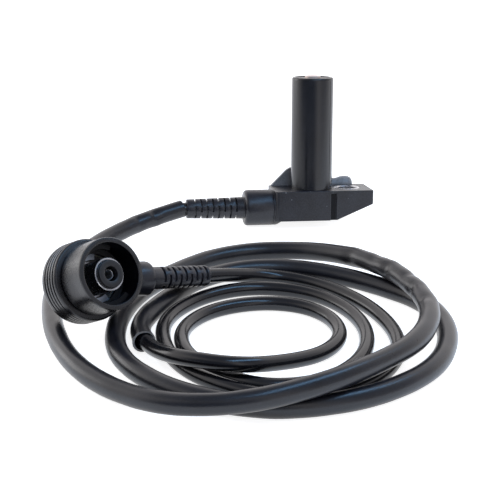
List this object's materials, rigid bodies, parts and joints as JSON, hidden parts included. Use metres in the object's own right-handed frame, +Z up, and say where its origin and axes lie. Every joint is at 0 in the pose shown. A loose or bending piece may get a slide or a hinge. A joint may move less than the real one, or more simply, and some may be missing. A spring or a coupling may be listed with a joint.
{
  "type": "inductive speed sensor",
  "caption": "Barrel-shaped inductive speed sensor on a flanged block, with a bushed fixing hole, a partly sleeved lead and a right-angle round coaxial plug with a turning coupling cap.",
  "frame": {"origin": "on the surface that the part lies on, under the middle of the sensor head without its lead", "axes": "+Z up, close to the way the sensor barrel points as the head leans at rest; the lead leaves the head towards -X; -Y is the front, where the lead lies coiled"},
  "size_m": [0.1473, 0.2148, 0.0641],
  "materials": {
    "moulding": "matt, fine grain",
    "cap_moulding": "satin",
    "boot_rubber": "matt",
    "sleeve_rubber": "soft matt",
    "lead_jacket": "satin",
    "seal_rubber": "matt",
    "steel": "bright",
    "magnet_steel": "ground",
    "copper": "bare",
    "contact_brass": "bright",
    "spool": "matt",
    "resin": "cast",
    "insulation": "matt"
  },
  "bodies": {
    "sensor_and_lead": {"sensor_block": "moulding", "barrel_shell": "moulding", "rear_fin": "moulding", "rear_peg": "moulding", "mounting_bush": "steel", "pole_pin": "steel", "magnet": "magnet_steel", "coil_bobbin": "spool", "coil_winding": "copper", "head_ferrule": "steel", "sensor_boot": "boot_rubber", "signal_core": "copper", "return_core": "copper", "signal_terminal": "contact_brass", "return_terminal": "contact_brass", "potting_fill": "resin", "signal_lead": "lead_jacket", "lead_sleeve": "sleeve_rubber", "thrust_washer": "spool", "face_seal": "seal_rubber", "contact_carrier": "cap_moulding", "rear_cover": "cap_moulding", "outer_contact": "steel", "contact_insulator": "insulation", "centre_socket": "contact_brass", "plug_ferrule": "steel", "plug_signal_core": "copper", "plug_screen_tail": "copper", "plug_boot": "boot_rubber"},
    "cap": {"coupling_cap": "cap_moulding", "lock_ring": "steel", "retaining_ring": "steel"}
  },
  "joints": [
    {"name": "cap_turn", "type": "hinge", "parent": "sensor_and_lead", "child": "cap", "pos_m": [-0.10255, -0.11682, 0.02174], "axis": [0.4788, -0.7633, 0.4337], "range_deg": [-40, 0]}
  ]
}
